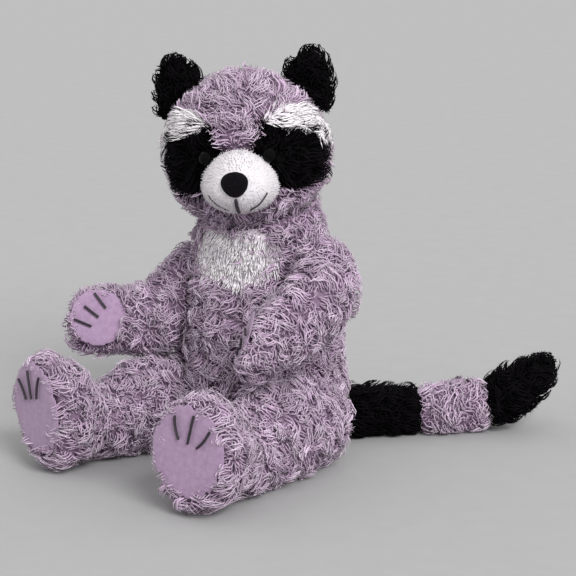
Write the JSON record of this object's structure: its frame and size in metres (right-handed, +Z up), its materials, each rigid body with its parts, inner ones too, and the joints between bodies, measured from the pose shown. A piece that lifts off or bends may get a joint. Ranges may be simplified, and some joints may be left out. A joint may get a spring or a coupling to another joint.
{
  "type": "plush raccoon",
  "caption": "Seated plush raccoon in curly pile, with a masked face, suede palm and sole pads and a ringed tail.",
  "frame": {"origin": "centre of the flat seat under the torso", "axes": "+Z up out of the seat, -Y the way the torso faces, +X the toy's left"},
  "size_m": [0.2343, 0.3011, 0.2603],
  "materials": {
    "grey_pile": "curly pile, matt",
    "white_pile": "long straight pile, matt",
    "black_pile": "long pile, matt",
    "white_velour": "short velour, matt",
    "mauve_suede": "suede cloth, matt",
    "black_thread": "embroidery thread, soft sheen",
    "black_velvet": "short velvet, matt",
    "eye_gloss": "polished",
    "washer_plastic": "as moulded"
  },
  "bodies": {
    "root": {"arm_left": "grey_pile", "arm_right": "grey_pile", "head": "grey_pile", "leg_left": "grey_pile", "leg_right": "grey_pile", "tail_middle_grey": "grey_pile", "torso": "grey_pile", "brow_patch_left": "white_pile", "brow_patch_right": "white_pile", "chest_bib": "white_pile", "ear_left": "black_pile", "ear_right": "black_pile", "eye_patch_left": "black_pile", "eye_patch_right": "black_pile", "tail_base_black": "black_pile", "tail_tip_black": "black_pile", "muzzle": "white_velour", "palm_pad_left": "mauve_suede", "palm_pad_right": "mauve_suede", "sole_pad_left": "mauve_suede", "sole_pad_right": "mauve_suede", "mouth_line": "black_thread", "palm_stitch_left_1": "black_thread", "palm_stitch_left_2": "black_thread", "palm_stitch_left_3": "black_thread", "palm_stitch_right_1": "black_thread", "palm_stitch_right_2": "black_thread", "palm_stitch_right_3": "black_thread", "smile_stitch_left": "black_thread", "smile_stitch_right": "black_thread", "toe_stitch_left_1": "black_thread", "toe_stitch_left_2": "black_thread", "toe_stitch_left_3": "black_thread", "toe_stitch_right_1": "black_thread", "toe_stitch_right_2": "black_thread", "toe_stitch_right_3": "black_thread", "nose": "black_velvet", "eye_left": "eye_gloss", "eye_right": "eye_gloss", "eye_washer_left": "washer_plastic", "eye_washer_right": "washer_plastic"}
  },
  "joints": []
}
